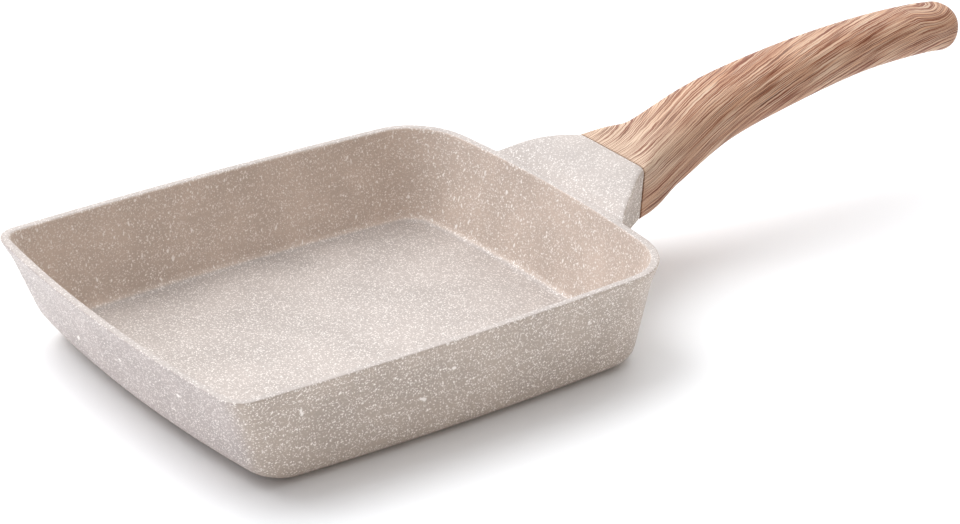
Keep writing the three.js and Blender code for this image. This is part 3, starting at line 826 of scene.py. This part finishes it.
# Metals of the induction plate and the fixings, brushed across the pan
PLATE_STEEL_TINT = (190, 191, 193)
PLATE_STEEL_ROUGHNESS = 0.36
ZINC_TINT = (176, 179, 184)
ZINC_ROUGHNESS = 0.4
BRUSH_LINES = (60.0, 2600.0, 60.0)
BRUSH_SHADE = 0.93
BRUSH_SPREAD = 0.06
METAL_BUMP = (0.1, 0.00003)


def satin_metal(name, tint, roughness):
    nodes = Surface(name)
    position = nodes.add("ShaderNodeTexCoord").outputs["Object"]
    brushed = nodes.noise(position, BRUSH_LINES, 3.0)
    tone = nodes.mix(brushed, colour(*[BRUSH_SHADE * c for c in tint]), colour(*tint))
    nodes.paint(tone, nodes.span(brushed, *NOISE_RANGE, roughness - BRUSH_SPREAD, roughness + BRUSH_SPREAD))
    nodes.shader.inputs["Metallic"].default_value = 1.0
    nodes.bump(brushed, *METAL_BUMP)
    return nodes.material


# Studio
def camera_axes():
    azimuth, elevation, roll = (math.radians(a) for a in (VIEW_AZIMUTH, VIEW_ELEVATION, VIEW_ROLL))
    back = Vector((
        math.sin(azimuth) * math.cos(elevation),
        -math.cos(azimuth) * math.cos(elevation),
        math.sin(elevation),
    ))
    level = Vector((math.cos(azimuth), math.sin(azimuth), 0))
    upward = back.cross(level)
    right = level * math.cos(roll) + upward * math.sin(roll)
    up = upward * math.cos(roll) - level * math.sin(roll)
    return right, up, back


def make_camera():
    right, up, back = camera_axes()
    metres_per_pixel = VIEW_DISTANCE / FOCAL_PIXELS
    aside = (AIM_PIXEL[0] - IMAGE_SIZE[0] / 2) * metres_per_pixel
    above = (IMAGE_SIZE[1] / 2 - AIM_PIXEL[1]) * metres_per_pixel
    place = Vector(AIM_POINT) + back * VIEW_DISTANCE - right * aside - up * above
    data = bpy.data.cameras.new("camera")
    data.sensor_width = SENSOR_WIDTH
    data.lens = FOCAL_PIXELS / IMAGE_SIZE[0] * SENSOR_WIDTH
    data.clip_start = NEAR_CLIP
    camera = bpy.data.objects.new("camera", data)
    turn = Matrix((right, up, back)).transposed().to_4x4()
    camera.matrix_world = Matrix.Translation(place) @ turn
    bpy.context.scene.collection.objects.link(camera)
    bpy.context.scene.camera = camera


KEY_PLACE = (-0.56, -0.56, 1.38)
KEY_TARGET = (0, 0.05, 0.02)
KEY_SIZE = 1.3
KEY_POWER = 16
KEY_TINT = (0.97, 0.985, 1.0)


def make_key_light():
    """One large round lamp, high above the front left corner."""
    data = bpy.data.lights.new("key", "AREA")
    data.shape = "DISK"
    data.size = KEY_SIZE
    data.energy = KEY_POWER
    data.color = KEY_TINT
    lamp = bpy.data.objects.new("key", data)
    lamp.location = KEY_PLACE
    lamp.rotation_euler = (Vector(KEY_PLACE) - Vector(KEY_TARGET)).to_track_quat("Z", "Y").to_euler()
    bpy.context.scene.collection.objects.link(lamp)


FLOOR_RADIUS = 6.0
FLOOR_WHITE = (0.92, 0.92, 0.92, 1.0)


def make_floor():
    """A white disc, clear from below, with a window under the pan that lets light reach the underside."""
    window = wall_ring(0, OUTSIDE, FLAT_MARGIN)
    edge = FLOOR_RADIUS * window / np.linalg.norm(window, axis=1, keepdims=True)
    count = len(window)
    turns = [(i, (i + 1) % count) for i in range(count)]
    faces = [(i, count + i, count + j, j) for i, j in turns]
    floor = new_object("floor", np.concatenate([window, edge]), faces)
    material = bpy.data.materials.new("floor_white")
    nodes = Nodes(material)
    nodes.tree.nodes.remove(nodes.tree.nodes["Principled BSDF"])
    above = nodes.add("ShaderNodeBsdfDiffuse", {"Color": FLOOR_WHITE}).outputs[0]
    below = nodes.add("ShaderNodeBsdfTransparent").outputs[0]
    facing = nodes.add("ShaderNodeNewGeometry").outputs["Backfacing"]
    shown = nodes.add("ShaderNodeMixShader", {0: facing, 1: above, 2: below}).outputs[0]
    nodes.set(nodes.tree.nodes["Material Output"].inputs[0], shown)
    floor.data.materials.append(material)


# Studio dome: a fill that is stronger near the horizon, and glows as tint, direction and sharpness
SKY_FILL = (0.37, 0.338, 0.31)
SKY_FILL_LOW = 1.38
SKY_FILL_HIGH = 0.75
SKY_FILL_TOP = 0.6
SKY_GLOWS = [
    ((1.2, 1.28, 1.37), (-0.25, -0.05, 0.967), 3.0),
    ((1.2, 1.2, 1.2), (-0.6, 0.5, 0.624), 4.0),
    ((0.26, 0.32, 0.46), (-0.5, -0.853, 0.15), 4.0),
]
WHITE = (1.0, 1.0, 1.0, 1.0)


def make_world():
    """A pale dome that glows overhead, at the back left and low in front, and is white to the camera."""
    world = bpy.data.worlds.new("studio")
    bpy.context.scene.world = world
    nodes = Nodes(world)
    direction = nodes.add("ShaderNodeTexCoord").outputs["Generated"]
    height = nodes.parts(direction)[2]
    dome = nodes.scaled(SKY_FILL, nodes.span(height, 0.0, SKY_FILL_TOP, SKY_FILL_LOW, SKY_FILL_HIGH))
    for tint, side, sharpness in SKY_GLOWS:
        towards = nodes.math("MAXIMUM", nodes.vector("DOT_PRODUCT", direction, side), 0.0)
        dome = nodes.vector("MULTIPLY_ADD", tint, nodes.math("POWER", towards, sharpness), dome)
    path = nodes.add("ShaderNodeLightPath").outputs
    seen = nodes.math("MAXIMUM", path["Is Camera Ray"], path["Is Transmission Ray"])
    nodes.set(nodes.tree.nodes["Background"].inputs["Color"], nodes.mix(seen, dome, WHITE))


def make_studio():
    make_camera()
    make_floor()
    make_world()
    make_key_light()
    bpy.context.scene.view_settings.view_transform = "Standard"


# Pieces
def dress(piece, material, slot, *nodes):
    piece.data.materials.clear()
    piece.data.materials.append(material)
    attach(piece, "root")
    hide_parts(*nodes)


make_studio()
dress(stone_pan(), stone_coating(), "coated_aluminium", "pan_body")
dress(wooden_handle(), wood_look(), "wood_look_phenolic", "handle")
plate_steel = satin_metal("plate_steel", PLATE_STEEL_TINT, PLATE_STEEL_ROUGHNESS)
zinc = satin_metal("zinc_plating", ZINC_TINT, ZINC_ROUGHNESS)
for node, finish in [("induction_plate", plate_steel), ("handle_screw", zinc), ("spring_washer", zinc),
                     ("flat_washer", zinc), ("threaded_insert", zinc)]:
    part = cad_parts[node]
    part.data.materials.clear()
    part.data.materials.append(finish)
